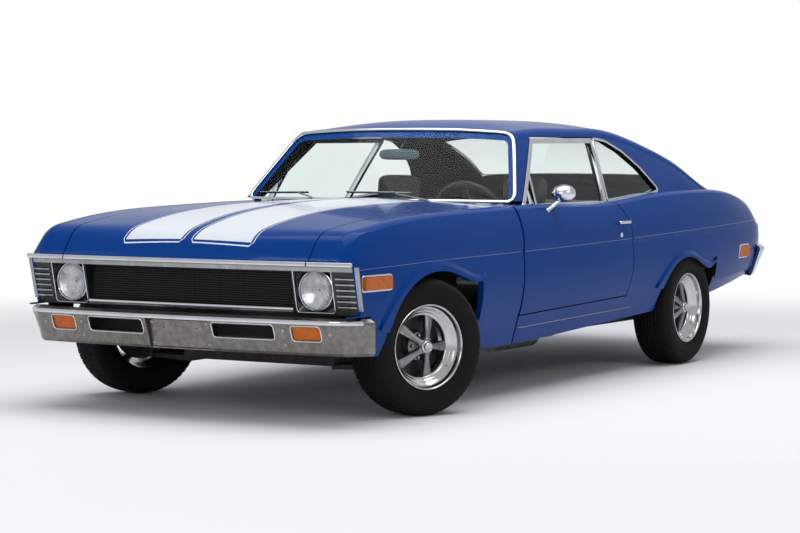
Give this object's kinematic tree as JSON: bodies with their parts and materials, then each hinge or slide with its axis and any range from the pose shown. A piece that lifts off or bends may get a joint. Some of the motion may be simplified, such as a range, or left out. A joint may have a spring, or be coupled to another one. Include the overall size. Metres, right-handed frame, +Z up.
{
  "type": "muscle car",
  "caption": "Two-door hardtop coupe with long hood, short rear deck, opening doors and lids, steered front wheels and a hollow cabin.",
  "frame": {"origin": "on the ground under the middle of the car", "axes": "+X to the front of the car, +Y to the driver's side on the left, +Z up"},
  "size_m": [4.7518, 2.0294, 1.3329],
  "materials": {
    "paint": "gloss",
    "black_paint": "satin",
    "chrome": "polished",
    "wheel_metal": "satin",
    "tyre": "matte",
    "glass": "gloss",
    "lamp_glass": "gloss",
    "amber": "gloss",
    "red_lens": "gloss",
    "steel": "rough",
    "pipe_steel": "dull",
    "trim_black": "matte",
    "seat_vinyl": "satin"
  },
  "bodies": {
    "root": {"control_arms": "steel", "cowl": "paint", "dashboard": "trim_black", "driveshaft": "steel", "engine_bay": "black_paint", "engine_block": "steel", "exhaust": "pipe_steel", "fender_left": "paint", "fender_right": "paint", "firewall": "black_paint", "floor_pan": "black_paint", "front_bumper": "chrome", "front_frame": "steel", "front_seats": "seat_vinyl", "fuel_tank": "pipe_steel", "gearbox": "steel", "grille": "trim_black", "headlamps": "lamp_glass", "inside_mirror": "trim_black", "nose_panel": "paint", "quarter_left": "paint", "quarter_right": "paint", "rear_axle": "steel", "rear_bumper": "chrome", "rear_glass": "glass", "rear_seat": "seat_vinyl", "roof": "paint", "side_markers": "amber", "tail_lamps": "red_lens", "tail_panel": "paint", "turn_lamps": "amber", "windshield": "glass"},
    "door_left": {"door_left_frame": "chrome", "door_left_glass": "glass", "door_left_handle": "chrome", "door_left_shell": "paint", "door_mirror": "chrome"},
    "door_right": {"door_right_frame": "chrome", "door_right_glass": "glass", "door_right_handle": "chrome", "door_right_shell": "paint"},
    "hood_lid": {"hood": "paint"},
    "trunk": {"trunk_lid": "paint"},
    "steer_left": {"knuckle_left": "steel"},
    "steer_right": {"knuckle_right": "steel"},
    "linkage": {"steering_linkage": "steel"},
    "hand_wheel": {"steering_wheel": "trim_black"},
    "wheel_front_left": {"rim_front_left": "wheel_metal", "tyre_front_left": "tyre"},
    "wheel_front_right": {"rim_front_right": "wheel_metal", "tyre_front_right": "tyre"},
    "wheel_rear_left": {"rim_rear_left": "wheel_metal", "tyre_rear_left": "tyre"},
    "wheel_rear_right": {"rim_rear_right": "wheel_metal", "tyre_rear_right": "tyre"}
  },
  "joints": [
    {"name": "door_left_hinge", "type": "hinge", "parent": "root", "child": "door_left", "pos_m": [0.724, 0.86, 0.65], "axis": [0, 0, -1], "range_deg": [0, 65]},
    {"name": "door_right_hinge", "type": "hinge", "parent": "root", "child": "door_right", "pos_m": [0.724, -0.86, 0.65], "axis": [0, 0, 1], "range_deg": [0, 65]},
    {"name": "hood_hinge", "type": "hinge", "parent": "root", "child": "hood_lid", "pos_m": [0.824, 0, 0.9385], "axis": [0, -1, 0], "range_deg": [0, 50]},
    {"name": "trunk_hinge", "type": "hinge", "parent": "root", "child": "trunk", "pos_m": [-1.721, 0, 0.9515], "axis": [0, 1, 0], "range_deg": [0, 60]},
    {"name": "steer_left", "type": "hinge", "parent": "root", "child": "steer_left", "pos_m": [1.624, 0.69, 0.308], "axis": [0, 0, 1], "range_deg": [-10, 54]},
    {"name": "steer_right", "type": "hinge", "parent": "root", "child": "steer_right", "pos_m": [1.624, -0.69, 0.308], "axis": [0, 0, 1], "range_deg": [-10.5, 54.5]},
    {"name": "linkage_slide", "type": "slide", "parent": "root", "child": "linkage", "axis": [0, 1, 0], "range_m": [-0.1147, 0.0221]},
    {"name": "hand_wheel_turn", "type": "hinge", "parent": "root", "child": "hand_wheel", "pos_m": [0.374, 0.37, 0.83], "axis": [-0.9135, 0, 0.4067], "range_deg": [-161, 865]},
    {"name": "spin_front_left", "type": "hinge", "parent": "steer_left", "child": "wheel_front_left", "pos_m": [1.67457, 0.81517, 0.308], "axis": [0.3746, 0.9272, 0], "continuous": true},
    {"name": "spin_front_right", "type": "hinge", "parent": "steer_right", "child": "wheel_front_right", "pos_m": [1.57343, -0.81517, 0.308], "axis": [0.3746, 0.9272, 0], "continuous": true},
    {"name": "spin_rear_left", "type": "hinge", "parent": "root", "child": "wheel_rear_left", "pos_m": [-1.166, 0.776, 0.308], "axis": [0, 1, 0], "continuous": true},
    {"name": "spin_rear_right", "type": "hinge", "parent": "root", "child": "wheel_rear_right", "pos_m": [-1.166, -0.776, 0.308], "axis": [0, 1, 0], "continuous": true}
  ],
  "couplings": [
    {"joint": "steer_right", "follows": "steer_left", "ratio": 1},
    {"joint": "linkage_slide", "follows": "steer_left", "m_per_rad": -0.12053},
    {"joint": "hand_wheel_turn", "follows": "steer_left", "ratio": 16}
  ]
}
